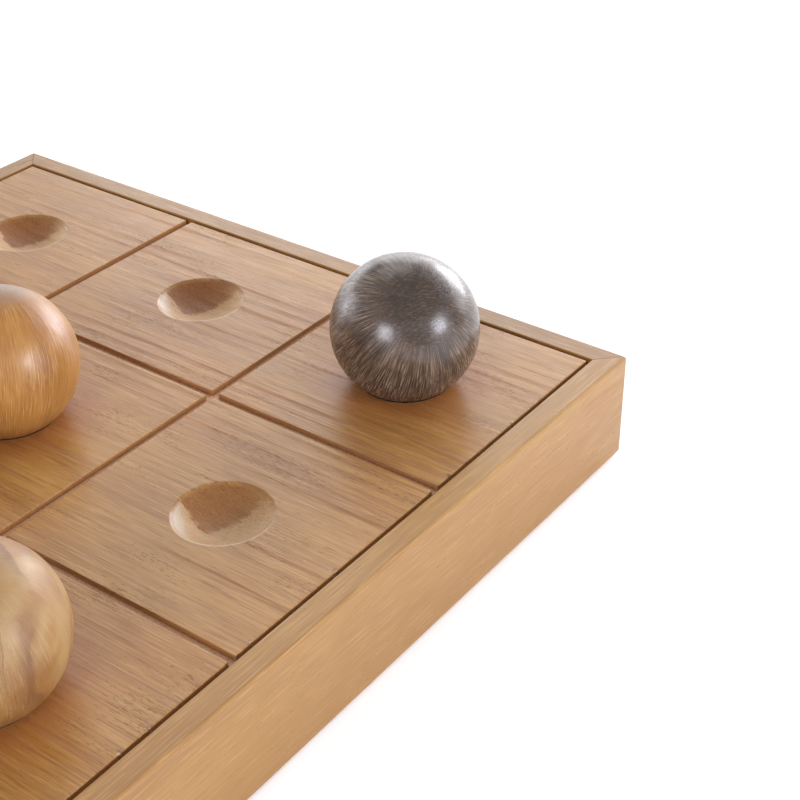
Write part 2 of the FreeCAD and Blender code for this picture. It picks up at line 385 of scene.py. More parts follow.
def shade_and_flecks(n, cell, colour, wedge_shade):
    """Painted shade as dark end grain in each dimple's wedge, and dark flecks in every cut."""
    wedge_share = n.math("MULTIPLY_ADD", wedge_shade, 0.88, 0.06)
    paler = n.remap(cell.x, 20 * MM, 75 * MM, 1.0, 0.70)
    wedge_share = n.math("MULTIPLY", n.math("MULTIPLY", cell.hollow, wedge_share), paler)
    grain = n.remap(cell.fleck, 0.30, 0.68)
    shade_grain = n.mix(grain, panel_colour("shade_grain_dark"), panel_colour("shade_grain_light"))
    colour = n.mix(wedge_share, colour, shade_grain)
    flecks = n.math("MULTIPLY", cell.hollow, n.remap(cell.fleck, 0.30, 0.42, 0.20, 0.0))
    return n.mix(flecks, colour, panel_colour("fleck"))


def grooved(n, cell, colour):
    """Reddish groove walls, a paler floor of painted light, and darker corners of painted shade
    where the two meet.
    """
    groove = n.math("MULTIPLY", cell.hollow, n.remap(cell.reach, DIMPLE_ZONE, EDGE_ZONE, 0.0, 0.9))
    sunk = n.remap(cell.z, GROOVE_FLOOR + 0.1 * MM, GROOVE_FLOOR + 0.9 * MM, 1.0, 0.0)
    # The floor's paler colour is painted light
    cut_wood = n.mix(sunk, panel_colour("groove_wall"), panel_colour("groove_floor_light"))
    flecks = n.remap(cell.fleck, 0.34, 0.56, 0.6, 0.0)
    cut_wood = n.mix(flecks, cut_wood, panel_colour("groove_fleck"))
    colour = n.mix(groove, colour, cut_wood)
    # Painted shade: a darker strip where the floor meets the walls
    corner = n.math("MULTIPLY", n.remap(cell.from_groove(), 1.05 * MM, 1.4 * MM), sunk)
    corner = n.math("MULTIPLY", n.math("MULTIPLY", corner, groove), 0.40)
    return n.mix(corner, colour, panel_colour("groove_corner_shade"))


def painted_dimple_light(n, cell, colour, side):
    """Painted light as paler wood in the front of each dimple, and painted highlights as a whitish
    patch and a light line on its lip.
    """
    within = n.remap(cell.radius, 14.6 * MM, 15.9 * MM, 1.0, 0.0)
    # Painted light: paler wood in the dimple outside its shaded wedge
    painted_front_light = n.math("MULTIPLY", within, n.remap(side, -1 * MM, 3 * MM, 0.58, 0.0))
    painted_front_light = n.math("MULTIPLY", painted_front_light, n.remap(cell.fleck, 0.36, 0.52, 0.35, 1.0))
    colour = n.mix(painted_front_light, colour, panel_colour("painted_front_light"))
    # Painted highlight: a whitish patch at the dimple's front left
    highlight_patch = n.remap(cell.beyond(FROM_FRONT_LEFT), -14.5 * MM, -10 * MM, 0.55, 0.0)
    highlight_patch = n.math("MULTIPLY", highlight_patch, within)
    highlight_patch = n.math("MULTIPLY", highlight_patch, n.remap(side, 0, 3 * MM, 1.0, 0.0))
    colour = n.mix(highlight_patch, colour, panel_colour("highlight_patch"))
    # Painted highlight: a light line on the lip at the dimple's front right
    lip_start = n.remap(cell.radius, 15.4 * MM, 15.9 * MM)
    lip_end = n.remap(cell.radius, 16.2 * MM, 16.7 * MM, 1.0, 0.0)
    near = n.remap(cell.beyond(TO_BACK_LEFT), -14 * MM, -1 * MM, 0.55, 0.0)
    lip = n.math("MULTIPLY", n.math("MULTIPLY", lip_start, lip_end), near)
    return n.mix(lip, colour, panel_colour("lip"))


def cut_roughness(n, cell, roughness, side):
    """Duller varnish on the arrises and in the dimples."""
    polish = n.remap(side, 0, 5 * MM, 0.85, 1.0)
    polish = n.math("MULTIPLY_ADD", n.math("SUBTRACT", polish, 1.0), cell.hollow, 1.0)
    roughness = n.math("MULTIPLY", roughness, polish)
    at_edge = n.remap(cell.reach, DIMPLE_ZONE, EDGE_ZONE)
    arris = n.math("MULTIPLY", cell.deeper(DULL_ARRIS, 0.14), at_edge)
    at_dimple = n.remap(cell.reach, DIMPLE_ZONE, EDGE_ZONE, 1.0, 0.0)
    bowl = n.math("MULTIPLY", cell.deeper(DULL_BOWL, 0.24), at_dimple)
    return n.math("ADD", roughness, n.math("ADD", arris, bowl))


def painted_ring_shade(n, place, colour):
    """Painted shade: warmer, darker wood in a ring round the foot of each ball."""
    most = 0.0
    for ball_name in GREY_BALLS + NATURAL_BALLS:
        low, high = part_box(ball_name)
        foot = ((low.x + high.x) / 2, (low.y + high.y) / 2, PANEL_TOP)
        inputs = {0: place, 1: foot}
        away = n.add("ShaderNodeVectorMath", inputs, operation="DISTANCE").outputs["Value"]
        outward = n.remap(away, 17 * MM, 38 * MM, 0.56, 0.0)
        ring = n.math("MULTIPLY", outward, n.remap(away, 13 * MM, 17 * MM))
        most = n.math("MAXIMUM", most, ring)
    return n.mix(most, colour, panel_colour("ring_shade"))


def torn_edges(n, place, cell, colour):
    """Dark and light splinters at the panel's two end-grain edges."""
    edge = n.math("SUBTRACT", PANEL_HALF, n.math("ABSOLUTE", cell.x))
    share = n.remap(n.noise(place, (0, 170, 0), detail=1.0), 0.56, 0.66)
    share = n.math("MULTIPLY", share, n.remap(edge, 0.3 * MM, 2.2 * MM, 1.0, 0.0))
    splinter = n.noise(place, (500, 1500, 1500), detail=2.0)
    dark = n.math("MULTIPLY", share, n.remap(splinter, 0.50, 0.60, 0.0, 0.85))
    colour = n.mix(dark, colour, panel_colour("torn_dark"))
    light = n.math("MULTIPLY", share, n.remap(splinter, 0.36, 0.46, 0.7, 0.0))
    return n.mix(light, colour, panel_colour("torn_light"))


def panel_wood(name, look):
    """The panel's wood: painted shade and light in the dimples and grooves, and splinters at its
    end-grain edges.
    """
    n = Nodes(name)
    place = n.place()
    fibre = n.noise(place, look["fibre_scale"], detail=3.0, roughness=0.6)
    pore_noise = n.noise(place, look["pore_scale"], detail=1.0)
    colour, roughness, normal = wood_surface(n, place, look, fibre, pore_noise)
    cell = CellPlaces(n, place)
    # Painted shade in a wedge at each dimple's back left; the same mask places the painted light
    # in its front
    wedge_shade = painted_dimple_shade(n, cell)
    side = n.math("MULTIPLY_ADD", wedge_shade, 7 * MM, -2.5 * MM)
    colour = shade_and_flecks(n, cell, colour, wedge_shade)
    colour = grooved(n, cell, colour)
    colour = painted_dimple_light(n, cell, colour, side)
    roughness = cut_roughness(n, cell, roughness, side)
    # Painted shade round the foot of each ball
    colour = painted_ring_shade(n, place, colour)
    colour = torn_edges(n, place, cell, colour)
    return put_surface(n, colour, roughness, normal)


# The inside and lower outside colours are painted shade; the mitre colour is the joints' dark
# hairline
RAIL_COLOURS = {
    "mitre": (0.09, 0.045, 0.02), "inner_face_shade": (0.31, 0.105, 0.032),
    "lower_face_shade": (0.262, 0.118, 0.013),
}


def rail_wood(name, turn, look):
    """A rail's wood: painted shade as a redder inside and a warmer low outside, dark hairlines
    along its mitres.
    """
    n = Nodes(name)
    place = n.place((0, 0, 0), (0, 0, turn))
    fibre = n.noise(place, look["fibre_scale"], detail=3.0, roughness=0.6)
    pore_noise = n.noise(place, look["pore_scale"], detail=1.0)
    colour, roughness, normal = wood_surface(n, place, look, fibre, pore_noise)
    parts = n.add("ShaderNodeSeparateXYZ", {0: place})
    along = n.math("ABSOLUTE", parts.outputs[0])
    across = n.math("ABSOLUTE", parts.outputs[1])
    height = parts.outputs[2]
    apart = n.math("ABSOLUTE", n.math("SUBTRACT", along, across))
    fleck = n.noise(place, (700, 700, 700), detail=2.0)
    hairline = n.remap(apart, 0.05 * MM, 0.30 * MM, 1.0, 0.0)
    hairline = n.math("MULTIPLY", hairline, n.remap(fleck, 0.42, 0.62, 0.25, 0.95))
    colour = n.mix(hairline, colour, rgb(*RAIL_COLOURS["mitre"]))
    # Painted shade: a darker, redder inside face below its top
    below = n.remap(height, BOARD_TOP - 1.2 * MM, BOARD_TOP - 0.3 * MM, 0.75, 0.0)
    inside = n.remap(across, INNER_HALF + 0.1 * MM, INNER_HALF + 0.4 * MM, 1.0, 0.0)
    inner_face_shade = n.math("MULTIPLY", below, inside)
    colour = n.mix(inner_face_shade, colour, rgb(*RAIL_COLOURS["inner_face_shade"]))
    outside = n.remap(across, OUTER_HALF - TOP_ARRIS, OUTER_HALF - 0.2 * MM)
    # Painted shade: a darker, warmer outside face, most towards the bottom
    lower = n.remap(height, BOARD_BOTTOM, BOARD_TOP - 8 * MM, 0.42, 0.0)
    lower_face_shade = n.math("MULTIPLY", lower, outside)
    colour = n.mix(lower_face_shade, colour, rgb(*RAIL_COLOURS["lower_face_shade"]))
    rounded = n.remap(height, BOARD_TOP - TOP_ARRIS, BOARD_TOP - 0.2 * MM, 0.0, 0.30)
    roughness = n.math("MULTIPLY_ADD", outside, rounded, roughness)
    return put_surface(n, colour, roughness, normal)


def ball_wood(name, node, fibre_direction, look):
    """Wood for one turned ball: streaks that run out from its poles, end grain about them."""
    low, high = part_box(node)
    centre = (low + high) / 2
    n = Nodes(name)
    place = n.place(centre, Vector(fibre_direction).to_track_quat("X", "Z").to_euler())
    parts = n.add("ShaderNodeSeparateXYZ", {0: place})
    wide = n.add("ShaderNodeCombineXYZ", {1: parts.outputs[1], 2: parts.outputs[2]}).outputs[0]
    reach = n.add("ShaderNodeVectorMath", {0: wide}, operation="LENGTH").outputs["Value"]
    around = n.add("ShaderNodeVectorMath", {0: wide}, operation="NORMALIZE").outputs[0]
    spokes = n.scaled(around, (0, look["spokes"], look["spokes"]))
    slow = n.scaled(place, look["along_scale"])
    meridian = n.add("ShaderNodeVectorMath", {0: spokes, 1: slow}, operation="ADD").outputs[0]
    streaks = n.noise(meridian, (1, 1, 1), detail=2.0, roughness=0.6)
    grain = n.noise(place, look["end_scale"], detail=3.0, roughness=0.6)
    open_side = n.remap(reach, look["open_from"], look["open_to"])
    patch = n.remap(n.noise(place, (75, 75, 75), detail=1.0), 0.36, 0.62, look["patchy"], 1.0)
    streaks = n.math("MULTIPLY_ADD", n.math("SUBTRACT", streaks, 0.5), patch, 0.5)
    grain = n.math("MULTIPLY_ADD", n.math("SUBTRACT", grain, 0.5), look["end_contrast"], 0.5)
    fibre = n.math("MULTIPLY_ADD", n.math("SUBTRACT", streaks, grain), open_side, grain)
    pore_noise = n.noise(place, look["pore_scale"], detail=1.0)
    colour, roughness, normal = wood_surface(n, place, look, fibre, pore_noise)
    pole = n.remap(open_side, 0.0, 1.0, look["pole_share"], 0.0)
    colour = n.mix(pole, colour, rgb(*look["pole"]))
    return put_surface(n, colour, roughness, normal)


# How each wood looks. Scales are noise cells per metre, lengths are in metres, and the fibres
# run along the first axis.
BOARD_LOOK = {
    "pith": (0.31, 0.10), "sway": 0.010, "ripple": 0.0016, "ripple_scale": (16, 80, 80),
    "spacing": 0.0052, "phase": 0.35, "late_from": 0.42, "break_scale": (16, 110, 110),
    "glow_scale": (9, 42, 42), "glow_distortion": 0.0, "pale": (0.374, 0.188, 0.047),
    "warm": (0.332, 0.150, 0.035), "band_scale": (11, 130, 130), "band_share": 0.36,
    "line": (0.240, 0.090, 0.026), "line_share": 0.62, "fibre_scale": (60, 1500, 1500),
    "streak": (0.480, 0.268, 0.100), "streak_share": 0.60, "shade": (0.205, 0.080, 0.020),
    "shade_share": 0.80, "cluster_scale": (22, 90, 90), "pore_scale": (480, 4600, 4600),
    "pore_from": 0.675, "pore": (0.10, 0.038, 0.014), "pore_share": 0.70, "rough": (0.26, 0.36),
    "fibre_relief": 0.6, "relief": 0.30, "unevenness": 0.3, "line_dull": 0.26, "pore_dull": 0.45,
    "ior": 1.56, "streak_from": 0.50, "streak_to": 0.71,
}

RAIL_LOOK = dict(
    BOARD_LOOK, pith=(0.05, 0.10), spacing=0.0075, line_share=0.24, pale=(0.345, 0.175, 0.036),
    warm=(0.314, 0.149, 0.028), band_share=0.22, shade=(0.255, 0.116, 0.029),
    cluster_scale=(60, 160, 160), pore_share=0.02, pore_scale=(240, 4600, 4600), pore_from=0.84,
    pore_dull=0.03, relief=0.05, line_dull=0.08)

GREY_LOOK = dict(
    BOARD_LOOK, pith=(0.05, 0.02), sway=0.004, ripple=0.0010, spacing=0.0065, late_from=0.4,
    glow_scale=(60, 90, 90), pale=(0.054, 0.034, 0.024), warm=(0.094, 0.058, 0.038),
    band_scale=(30, 160, 160), band_share=0.5, line=(0.037, 0.027, 0.023), line_share=0.45,
    streak=(0.42, 0.30, 0.215), streak_share=0.80, streak_from=0.48, streak_to=0.71,
    shade=(0.030, 0.022, 0.019), shade_share=0.80, pore_scale=(300, 3000, 3000),
    pore_from=0.64, pore=(0.018, 0.013, 0.011), pore_share=0.5, rough=(0.20, 0.28),
    spokes=100.0, along_scale=(150, 95, 95), end_scale=(1300, 480, 2900), end_contrast=0.85,
    patchy=0.75, pole=(0.031, 0.020, 0.0145), pole_share=0.68, open_from=0.006,
    open_to=0.018, unevenness=0.2, relief=0.4, line_dull=0.0, pore_dull=0.1, ior=1.55)

NATURAL_LOOK = dict(
    BOARD_LOOK, pith=(0.06, 0.03), sway=0.006, ripple=0.0012, spacing=0.008, late_from=0.45,
    glow_scale=(18, 42, 42), pale=(0.410, 0.197, 0.048), warm=(0.305, 0.126, 0.023),
    band_scale=(25, 150, 150), band_share=0.30, line=(0.247, 0.086, 0.024), line_share=0.22,
    streak=(0.590, 0.360, 0.150), streak_share=0.75, shade=(0.247, 0.091, 0.023),
    shade_share=0.85, pore_share=0.35, rough=(0.31, 0.39), spokes=88.0, along_scale=(130, 60, 60),
    end_scale=(300, 1700, 1700), end_contrast=0.8, patchy=0.6, pole=(0.160, 0.085, 0.034),
    pole_share=0.75, open_from=0.003, open_to=0.019, unevenness=0.2, relief=0.3, line_dull=0.0,
    pore_dull=0.1, ior=1.49)

MOTTLED_LOOK = dict(
    NATURAL_LOOK, glow_scale=(45, 60, 60), glow_distortion=1.4, pale=(0.345, 0.214, 0.087),
    warm=(0.298, 0.145, 0.040), band_scale=(60, 100, 100), band_share=0.75, rough=(0.42, 0.52),
    sway=0.022, ripple=0.008, ripple_scale=(60, 60, 60), line=(0.160, 0.068, 0.026),
    line_share=0.72, shade=(0.225, 0.098, 0.032), streak_share=0.25, shade_share=0.30,
    spokes=50.0, along_scale=(110, 60, 60), pole_share=0.2)

INNER_LOOK = dict(
    BOARD_LOOK, pale=(0.56, 0.40, 0.22), warm=(0.50, 0.34, 0.17), line=(0.36, 0.19, 0.08),
    streak=(0.62, 0.46, 0.27), shade=(0.40, 0.26, 0.13), spacing=0.006, pith=(0.12, 0.05),
    rough=(0.6, 0.75))

PLY_LOOK = dict(
    BOARD_LOOK, pale=(0.50, 0.34, 0.18), warm=(0.44, 0.29, 0.14), line=(0.30, 0.17, 0.08),
    streak=(0.58, 0.42, 0.24), shade=(0.33, 0.20, 0.10), spacing=0.010, pith=(0.30, 0.02),
    sway=0.030, rough=(0.42, 0.55))


def screw_steel():
    """Zinc-plated steel: bright, a little mottled, with fine turning marks."""
    n = Nodes("zinc_plated_steel")
    place = n.place()
    cloud = n.noise(place, (900, 900, 900), detail=3.0)
    marks = n.noise(place, (2500, 2500, 9000), detail=1.0)
    colour = n.mix(n.remap(cloud, 0.3, 0.7), rgb(0.56, 0.54, 0.50), rgb(0.70, 0.68, 0.62))
    n.put(n.shader.inputs["Base Color"], colour)
    n.put(n.shader.inputs["Roughness"], n.remap(cloud, 0.3, 0.7, 0.25, 0.42))
    n.put(n.shader.inputs["Normal"], n.bump(marks, TURNING_RELIEF, 0.4))
    n.shader.inputs["Metallic"].default_value = 1.0
    return n.material


def pad_felt():
    """Dark brown felt: matted short fibres, no gloss."""
    n = Nodes("brown_felt")
    place = n.place()
    matted = n.noise(place, (1600, 1600, 1600), detail=4.0, roughness=0.7, distortion=1.5)
    cloud = n.noise(place, (260, 260, 260), detail=2.0)
    colour = n.mix(n.remap(matted, 0.3, 0.7), rgb(0.035, 0.022, 0.015), rgb(0.11, 0.072, 0.048))
    colour = n.mix(n.remap(cloud, 0.35, 0.75, 0.0, 0.4), colour, rgb(0.16, 0.11, 0.08))
    n.put(n.shader.inputs["Base Color"], colour)
    n.put(n.shader.inputs["Roughness"], n.remap(matted, 0.3, 0.7, 0.85, 1.0))
    n.put(n.shader.inputs["Normal"], n.bump(matted, FELT_RELIEF, 0.8))
    n.shader.inputs["Sheen Weight"].default_value = 0.3
    return n.material


# ---------------------------------------------------------------------------------------------
# Playing panel
# ---------------------------------------------------------------------------------------------
SIDE_STEPS = 76
DIMPLE_RINGS = 8
LIP_RINGS = 5
FLAT_SHARES = (0.01, 0.15, 0.4, 0.75, 0.99, 1.0)
ARRIS_RINGS = 3


def side_share(step):
    """Position along a cell's side, from -1 to 1, with points closer together at its ends."""
    even = 2 * step / SIDE_STEPS - 1
    return 0.5 * even + 0.5 * math.sin(even * math.pi / 2)


def cell_outline(x_low, x_high, y_low, y_high, inset):
    """Points round a rectangle, anticlockwise from its front right corner, as (x, y)."""
    x_mid, x_half = (x_low + x_high) / 2, (x_high - x_low) / 2 - inset
    y_mid, y_half = (y_low + y_high) / 2, (y_high - y_low) / 2 - inset
    shares = [side_share(step) for step in range(SIDE_STEPS)]
    right = [(x_mid + x_half, y_mid + s * y_half) for s in shares]
    back = [(x_mid - s * x_half, y_mid + y_half) for s in shares]
    left = [(x_mid - x_half, y_mid - s * y_half) for s in shares]
    front = [(x_mid + s * x_half, y_mid - y_half) for s in shares]
    return right + back + left + front


def dimple_profile():
    """Radius and height from the panel's top, from the dimple's bottom over its eased lip."""
    rise = DIMPLE_RADIUS - DIMPLE_DEPTH
    lip_centre_radius = math.sqrt((DIMPLE_RADIUS + DIMPLE_LIP) ** 2 - (rise + DIMPLE_LIP) ** 2)
    meet = math.asin(lip_centre_radius / (DIMPLE_RADIUS + DIMPLE_LIP))
    profile = []
    for ring in range(1, DIMPLE_RINGS + 1):
        angle = meet * ring / DIMPLE_RINGS
        profile.append((DIMPLE_RADIUS * math.sin(angle), rise - DIMPLE_RADIUS * math.cos(angle)))
    for ring in range(1, LIP_RINGS + 1):
        angle = meet * (1 - ring / LIP_RINGS)
        radius = lip_centre_radius - DIMPLE_LIP * math.sin(angle)
        profile.append((radius, DIMPLE_LIP * (math.cos(angle) - 1)))
    return profile


# Splinters torn out of the panel's end-grain edges: place along the edge, half length and depth
CHIPS = (
    (GROOVE_OUTER + 0.4 * MM, 0.7 * MM, 0.50 * MM),
    (GROOVE_OUTER + 6.5 * MM, 0.7 * MM, 0.30 * MM),
    (GROOVE_OUTER + 15.5 * MM, 0.9 * MM, 0.60 * MM),
    (GROOVE_OUTER + 17.3 * MM, 0.6 * MM, 0.35 * MM),
    (GROOVE_INNER - 0.4 * MM, 0.9 * MM, 0.45 * MM),
    (GROOVE_INNER - 2.2 * MM, 0.6 * MM, 0.25 * MM),
    (-GROOVE_INNER + 1.0 * MM, 0.7 * MM, 0.40 * MM),
    (-GROOVE_INNER + 6.5 * MM, 0.8 * MM, 0.55 * MM),
    (-GROOVE_INNER + 8.4 * MM, 0.5 * MM, 0.35 * MM),
    (-GROOVE_OUTER - 0.6 * MM, 0.8 * MM, 0.40 * MM),
)


def chipped(x, y, z):
    """A point of an arris, moved in and down where an end-grain edge has lost a splinter."""
    if abs(x) < PANEL_HALF - 2 * PANEL_ARRIS:
        return x, y, z
    side = math.copysign(1, x)
    torn = wander(x, y, 0, 900, 0.10 * MM)
    for place, half_length, depth in CHIPS:
        off = abs(y - place * side) / half_length
        if off < 1:
            torn += depth * (1 - off) ** 0.7 * (0.75 + wander(x, y, place, 1800, 0.5))
    torn = max(torn, 0)
    return x - side * torn, y, z - 0.45 * torn


def add_cell(shell, x_limits, y_limits, x_centre, y_centre):
    """One cell: dimple, flat, eased arris and the wall down to the groove's floor."""
    turns = [math.pi / 4 * (2 * step / SIDE_STEPS - 1) + side * math.pi / 2
             for side in range(4) for step in range(SIDE_STEPS)]
    rows = []
    for radius, height in dimple_profile():
        circle = [(radius * math.cos(t), radius * math.sin(t)) for t in turns]
        rows.append([(x_centre + x, y_centre + y, PANEL_TOP + height) for x, y in circle])
    inner = rows[-1]
    outline = cell_outline(*x_limits, *y_limits, PANEL_ARRIS)
    for share in FLAT_SHARES:
        rows.append([(a[0] + (b[0] - a[0]) * share, a[1] + (b[1] - a[1]) * share, PANEL_TOP)
                     for a, b in zip(inner, outline)])
    for ring in range(1, ARRIS_RINGS + 1):
        angle = math.pi / 2 * ring / ARRIS_RINGS
        drop = PANEL_ARRIS * (1 - math.cos(angle))
        inset = PANEL_ARRIS * (1 - math.sin(angle))
        eased = cell_outline(*x_limits, *y_limits, inset)
        rows.append([chipped(x, y, PANEL_TOP - drop) for x, y in eased])
    wall = cell_outline(*x_limits, *y_limits, 0)
    rows.append([chipped(x, y, PANEL_TOP - PANEL_ARRIS - 0.1 * MM) for x, y in wall])
    rows.append([(x, y, GROOVE_FLOOR) for x, y in wall])
    made = [shell.row(row) for row in rows]
    bottom = shell.point(x_centre, y_centre, PANEL_TOP - DIMPLE_DEPTH)
    for i, corner in enumerate(made[0]):
        shell.face([bottom, corner, made[0][(i + 1) % len(turns)]])
    for first, second in zip(made, made[1:]):
        shell.strip(second, first, closed=True)
    return made[-1]


def playing_panel(material):
    """The whole panel as one closed shell."""
    shell = Shell()
    middle = (-GROOVE_INNER, GROOVE_INNER)
    limits = ((-PANEL_HALF, -GROOVE_OUTER), middle, (GROOVE_OUTER, PANEL_HALF))
    centres = (-CELL_CENTRE, 0.0, CELL_CENTRE)
    feet = {}
    for column in range(3):
        for row in range(3):
            feet[column, row] = add_cell(
                shell, limits[column], limits[row], centres[column], centres[row])
    n = SIDE_STEPS

    def side(cell, number):
        """One side of a cell's foot with both its corners; 0 is right, then anticlockwise."""
        foot = feet[cell]
        return [foot[(number * n + step) % (4 * n)] for step in range(n + 1)]

    for low in range(2):
        for other in range(3):
            right, left = side((low, other), 0), side((low + 1, other), 2)[::-1]
            shell.strip(left, right)
            back, front = side((other, low), 1)[::-1], side((other, low + 1), 3)
            shell.strip(back, front)
    for column in range(2):
        for row in range(2):
            shell.face([feet[column, row][n], feet[column + 1, row][2 * n],
                        feet[column + 1, row + 1][3 * n], feet[column, row + 1][0]])
    rim = []
    for row in range(3):
        rim += side((2, row), 0)
    for column in (2, 1, 0):
        rim += side((column, 2), 1)
    for row in (2, 1, 0):
        rim += side((0, row), 2)
    for column in range(3):
        rim += side((column, 0), 3)
    rim = [p for i, p in enumerate(rim) if p != rim[i - 1]]
    low = shell.row([(*shell.points[p][:2], panel_low.z) for p in rim])
    shell.strip(low, rim, closed=True)
    shell.face(low[::-1])
    return shell.piece("playing_panel_detail", material)


# ---------------------------------------------------------------------------------------------
# Rails
# ---------------------------------------------------------------------------------------------
END_STEPS = 8
RAIL_STEPS = 40
SECTION_STEP = 0.12 * MM


def arc(centre, radius, start, stop, steps):
    """Points on an arc in the rail's section, angles in degrees."""
    turns = [math.radians(start + (stop - start) * i / steps) for i in range(steps + 1)]
    return [(centre[0] + radius * math.cos(t), centre[1] + radius * math.sin(t)) for t in turns]


def rail_section():
    """Closed outline of a rail's section as (depth from the outer face, height)."""
    top, bottom = BOARD_TOP, BOARD_BOTTOM
    section = arc((BOTTOM_ARRIS, bottom + BOTTOM_ARRIS), BOTTOM_ARRIS, 270, 180, 5)
    section += [(0, bottom + BOTTOM_ARRIS + SECTION_STEP), (0, top - TOP_ARRIS - SECTION_STEP)]
    section += arc((TOP_ARRIS, top - TOP_ARRIS), TOP_ARRIS, 180, 90, 7)
    section.append((TOP_ARRIS + SECTION_STEP, top))
    section.append((RAIL_THICKNESS - INNER_ARRIS - SECTION_STEP, top))
    section += arc((RAIL_THICKNESS - INNER_ARRIS, top - INNER_ARRIS), INNER_ARRIS, 90, 0, 3)
    section.append((RAIL_THICKNESS, base_high.z))
    section.append((RAIL_THICKNESS - RABBET_WIDTH, base_high.z))
    section.append((RAIL_THICKNESS - RABBET_WIDTH, bottom))
    return section


def rail_end(depth):
    """From the rail's straight part out to its mitre, as (distance along, depth) at one depth."""
    start = OUTER_HALF - RAIL_THICKNESS - 4 * MM
    if depth < CORNER_RADIUS:
        centre = OUTER_HALF - CORNER_RADIUS
        radius = CORNER_RADIUS - depth
        curve = [(centre + radius * math.sin(t), CORNER_RADIUS - radius * math.cos(t))
                 for t in (math.pi / 4 * i / (END_STEPS - 1) for i in range(END_STEPS))]
        return [(start, depth)] + curve
    stop = OUTER_HALF - depth
    return [(start + (stop - start) * i / END_STEPS, depth) for i in range(END_STEPS + 1)]


def rail(name, turn, material):
    """One mitred rail; turn is its quarter turns from the back rail."""
    shell = Shell()
    section = rail_section()
    middle = (RAIL_THICKNESS / 2, (BOARD_TOP + BOARD_BOTTOM) / 2)
    spin = Matrix.Rotation(math.radians(90 * turn), 3, "Z")

    def lengthwise(depth, height, sign):
        """The way out to the mitre at one end, along one line of the section."""
        return [spin @ Vector((sign * along, OUTER_HALF - d, height))
                for along, d in rail_end(depth)]

    rows = []
    for depth, height in section:
        left = lengthwise(depth, height, -1)
        right = lengthwise(depth, height, 1)
        between = [left[0].lerp(right[0], i / RAIL_STEPS) for i in range(1, RAIL_STEPS)]
        rows.append(left[::-1] + between + right)
    # A hair's breadth at each mitre is eased towards the middle of the section
    for row, (depth, height) in zip(rows, section):
        for end, beside in ((0, 1), (-1, -2)):
            tip = row[end].copy()
            step = tip - row[beside]
            if step.length > 2 * MITRE_CREASE:
                row[beside] = tip - step.normalized() * MITRE_CREASE
            offset = Vector((0, depth - middle[0], middle[1] - height)).normalized()
            offset *= MITRE_CREASE
            local = spin.inverted() @ tip
            sign = -1 if local.x < 0 else 1
            local += Vector((sign * offset.y, offset.y, offset.z))
            row[end] = spin @ local
    made = [shell.row([tuple(p) for p in row]) for row in rows]
    for first, second in zip(made, made[1:] + made[:1]):
        shell.strip(first, second)
    shell.face([row[0] for row in made])
    shell.face([row[-1] for row in made][::-1])
    return shell.piece(name + "_detail", material, 30)


# ---------------------------------------------------------------------------------------------
# Balls and pads
# ---------------------------------------------------------------------------------------------
BALL_STEPS = 40
BALL_UNEVENNESS = 0.06 * MM
PAD_STEPS = 64
PAD_RAGGEDNESS = 0.02
PAD_UNEVENNESS = 0.05 * MM
# A pad's section as (share of its radius, share of its height): its edge, then its lower face
PAD_EDGE = ((1.0, 1.0), (1.0, 0.45), (0.985, 0.18), (0.95, 0.05), (0.90, 0.0))
PAD_FACE = ((0.8, 0.0), (0.65, 0.0), (0.5, 0.0), (0.35, 0.0), (0.2, 0.0))


def ball(name, material):
    """Turned ball: a round shell with the faint unevenness that the lathe and sanding leave."""
    low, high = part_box(name)
    centre = (low + high) / 2
    radius = (high.z - low.z) / 2
    shell = Shell()
    cube = [(*axes, sign) for axes in ((0, 1, 2), (1, 2, 0), (2, 0, 1)) for sign in (1, -1)]
    for first, second, out, sign in cube:
        grid = []
        for i in range(BALL_STEPS + 1):
            line = []
            for j in range(BALL_STEPS + 1):
                direction = Vector((0, 0, 0))
                direction[first] = math.tan(math.pi / 4 * (2 * i / BALL_STEPS - 1))
                direction[second] = sign * math.tan(math.pi / 4 * (2 * j / BALL_STEPS - 1))
                direction[out] = sign
                direction.normalize()
                uneven = 0.5 + 0.5 * noise.noise(direction * 1.7 + centre * 90)
                place = centre + direction * (radius - BALL_UNEVENNESS * uneven)
                line.append(shell.point(*place))
            grid.append(line)
        for near, far in zip(grid, grid[1:]):
            shell.strip(far, near)
    return shell.piece(name + "_detail", material, 60)


def pad(name, material):
    """Felt pad: a soft-edged disc with a slightly uneven face."""
    low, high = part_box(name)
    centre = (low + high) / 2
    radius = (high.x - low.x) / 2
    thickness = high.z - low.z
    shell = Shell()
    rows = []
    for share, height in PAD_EDGE + PAD_FACE:
        ring = []
        for i in range(PAD_STEPS):
            turn = 2 * math.pi * i / PAD_STEPS
            x = centre.x + radius * share * math.cos(turn)
            y = centre.y + radius * share * math.sin(turn)
            fray = noise.noise(Vector((x, y, height * 0.01)) * 1500)
            ragged = 1 - PAD_RAGGEDNESS * (0.5 + 0.5 * fray)
            uneven = PAD_UNEVENNESS * (0.5 + 0.5 * noise.noise(Vector((x, y, 0)) * 900))
            z = low.z + thickness * height + (uneven if height < 0.9 else 0)
            x = centre.x + (x - centre.x) * ragged
            y = centre.y + (y - centre.y) * ragged
            ring.append((x, y, z))
        rows.append(shell.row(ring))
    for first, second in zip(rows, rows[1:]):
        shell.strip(first, second, closed=True)
    shell.face(rows[-1])
    shell.face(rows[0][::-1])
    return shell.piece(name + "_detail", material, 50)


# ---------------------------------------------------------------------------------------------
# Assembly
# ---------------------------------------------------------------------------------------------
QUARTER = math.pi / 2
# The back and left rails take a darker copy of the rail wood: painted shade
SHADED_RAILS = ("rail_back", "rail_left")
SHADED_RAIL_WOOD = {"pale": (0.255, 0.125, 0.026), "warm": (0.232, 0.108, 0.021)}
